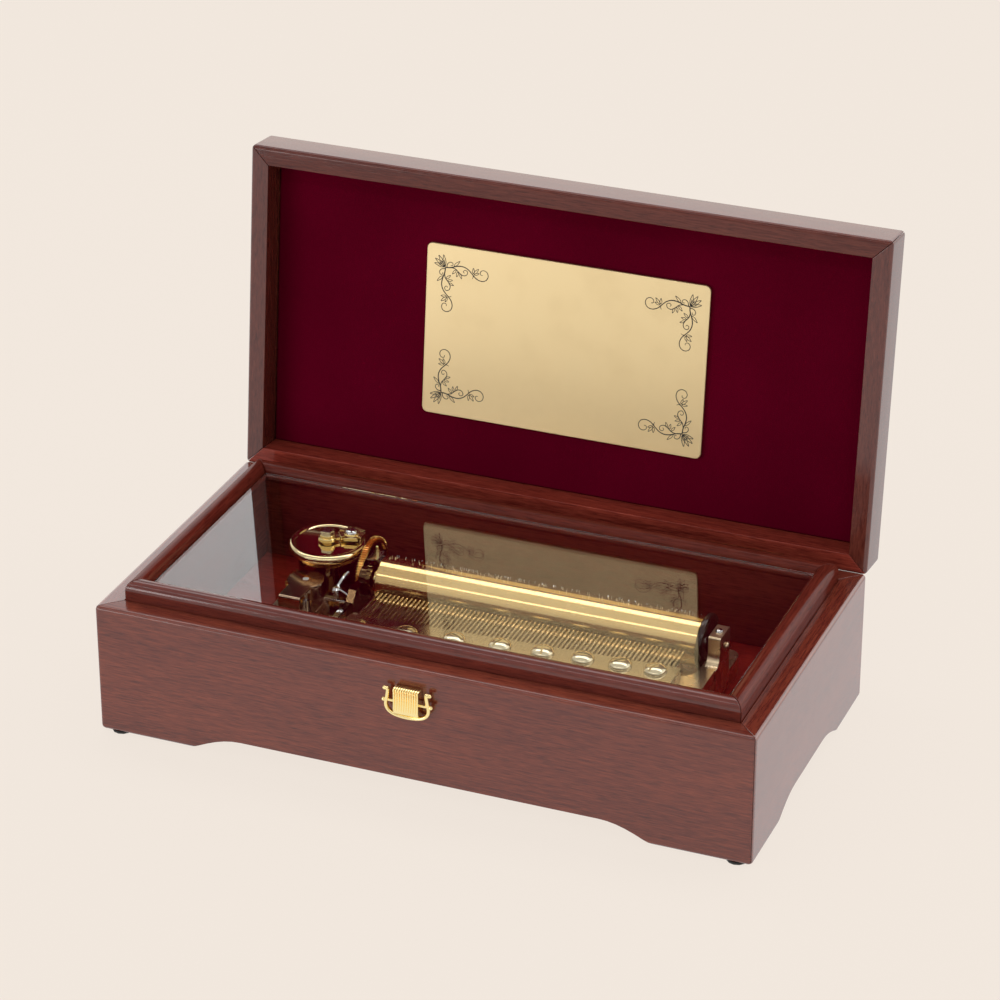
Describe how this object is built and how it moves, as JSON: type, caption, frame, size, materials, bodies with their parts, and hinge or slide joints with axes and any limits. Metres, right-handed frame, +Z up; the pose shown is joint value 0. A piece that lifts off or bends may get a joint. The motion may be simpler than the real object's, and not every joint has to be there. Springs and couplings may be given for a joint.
{
  "type": "music box",
  "caption": "Lacquered wooden music box with a hinged lid, shown open over a glazed cylinder-and-comb movement with spring barrel, governor and a winding key below.",
  "frame": {"origin": "middle of the bounding box in X and Y, at the underside of the rubber feet", "axes": "+X to the right along the case front, +Y from the front to the hinge side, +Z up"},
  "size_m": [0.28, 0.18, 0.1993],
  "materials": {
    "case_wood": "glossy clear lacquer over red-brown mahogany",
    "lid_wood": "glossy clear lacquer over red-brown mahogany",
    "liner_wood": "satin lacquer, dark red-brown",
    "base_wood": "satin, dark red",
    "velvet": "burgundy velvet",
    "plaque": "pale satin gold",
    "polished_brass": "polished",
    "satin_brass": "satin, lightly gilt",
    "gilt_fitting": "polished gilt",
    "comb_steel": "fine ground",
    "polished_steel": "polished",
    "dark_metal": "glossy dark brown",
    "rubber": "matt black",
    "glass": "clear, polished"
  },
  "bodies": {
    "case": {"case_front": "case_wood", "case_back": "case_wood", "case_left": "case_wood", "case_right": "case_wood", "base_board": "base_wood", "rubber_foot_1": "rubber", "rubber_foot_2": "rubber", "rubber_foot_3": "rubber", "rubber_foot_4": "rubber", "liner_front": "liner_wood", "liner_back": "liner_wood", "liner_left": "liner_wood", "liner_right": "liner_wood", "glass_pane": "glass", "front_fitting": "gilt_fitting", "hinge_leaf_case_left": "satin_brass", "hinge_leaf_case_right": "satin_brass", "bedplate": "satin_brass", "comb_base": "satin_brass", "comb": "comb_steel", "comb_screw_1": "polished_steel", "comb_screw_2": "polished_steel", "comb_screw_3": "polished_steel", "comb_screw_4": "polished_steel", "comb_screw_5": "polished_steel", "comb_screw_6": "polished_steel", "comb_screw_7": "polished_steel", "comb_screw_8": "polished_steel", "bearing_bracket": "polished_steel", "bracket_cap": "polished_steel", "governor_bracket": "satin_brass", "train_bridge": "polished_steel"},
    "lid": {"lid_rail_front": "lid_wood", "lid_rail_back": "lid_wood", "lid_rail_left": "lid_wood", "lid_rail_right": "lid_wood", "lid_top_panel": "lid_wood", "lid_lining": "velvet", "plaque": "plaque", "hinge_leaf_lid_left": "satin_brass", "hinge_leaf_lid_right": "satin_brass"},
    "cylinder": {"cylinder_drum": "polished_brass", "cylinder_flange": "dark_metal", "cylinder_cap": "dark_metal", "cylinder_arbor": "polished_steel", "cylinder_gear": "polished_brass"},
    "great_wheel": {"great_wheel": "polished_brass", "great_wheel_arbor": "polished_steel"},
    "barrel": {"spring_barrel": "polished_brass", "barrel_gear": "dark_metal", "star_screw": "polished_steel"},
    "star": {"star_wheel": "polished_brass"},
    "winding": {"winding_arbor": "polished_steel", "stop_finger": "polished_brass", "winding_key": "polished_brass"},
    "governor_wheel": {"governor_wheel": "polished_brass"},
    "fly": {"governor_fly": "satin_brass"},
    "stop_lever": {"stop_lever": "polished_steel"}
  },
  "joints": [
    {"name": "lid_hinge", "type": "hinge", "parent": "case", "child": "lid", "pos_m": [0, 0.05637, 0.05865], "axis": [1, 0, 0], "range_deg": [0, 96.2]},
    {"name": "barrel_spin", "type": "hinge", "parent": "case", "child": "barrel", "pos_m": [-0.0817, 0.01317, 0.0314], "axis": [0, 0, 1], "continuous": true},
    {"name": "great_wheel_spin", "type": "hinge", "parent": "case", "child": "great_wheel", "pos_m": [-0.0611, 0.01317, 0.0393], "axis": [1, 0, 0], "continuous": true},
    {"name": "cylinder_spin", "type": "hinge", "parent": "case", "child": "cylinder", "pos_m": [0, -0.00053, 0.04475], "axis": [1, 0, 0], "continuous": true},
    {"name": "winding_turn", "type": "hinge", "parent": "case", "child": "winding", "pos_m": [-0.0817, 0.01317, 0.023], "axis": [0, 0, 1], "continuous": true},
    {"name": "star_step", "type": "hinge", "parent": "barrel", "child": "star", "pos_m": [-0.07343, 0.01963, 0.0509], "axis": [0, 0, 1], "range_deg": [-144, 144]},
    {"name": "governor_wheel_spin", "type": "hinge", "parent": "case", "child": "governor_wheel", "pos_m": [-0.0753, -0.00943, 0.0313], "axis": [0, 1, 0], "continuous": true},
    {"name": "fly_spin", "type": "hinge", "parent": "case", "child": "fly", "pos_m": [-0.0816, -0.00943, 0.0263], "axis": [0, 0, 1], "continuous": true},
    {"name": "stop_lever_swing", "type": "hinge", "parent": "case", "child": "stop_lever", "pos_m": [-0.0688, -0.00713, 0.0346], "axis": [0, 0, 1], "range_deg": [-6, 6]}
  ],
  "couplings": [
    {"joint": "great_wheel_spin", "follows": "barrel_spin", "ratio": 0.8},
    {"joint": "cylinder_spin", "follows": "barrel_spin", "ratio": -0.8},
    {"joint": "governor_wheel_spin", "follows": "fly_spin", "ratio": 0.035714}
  ]
}
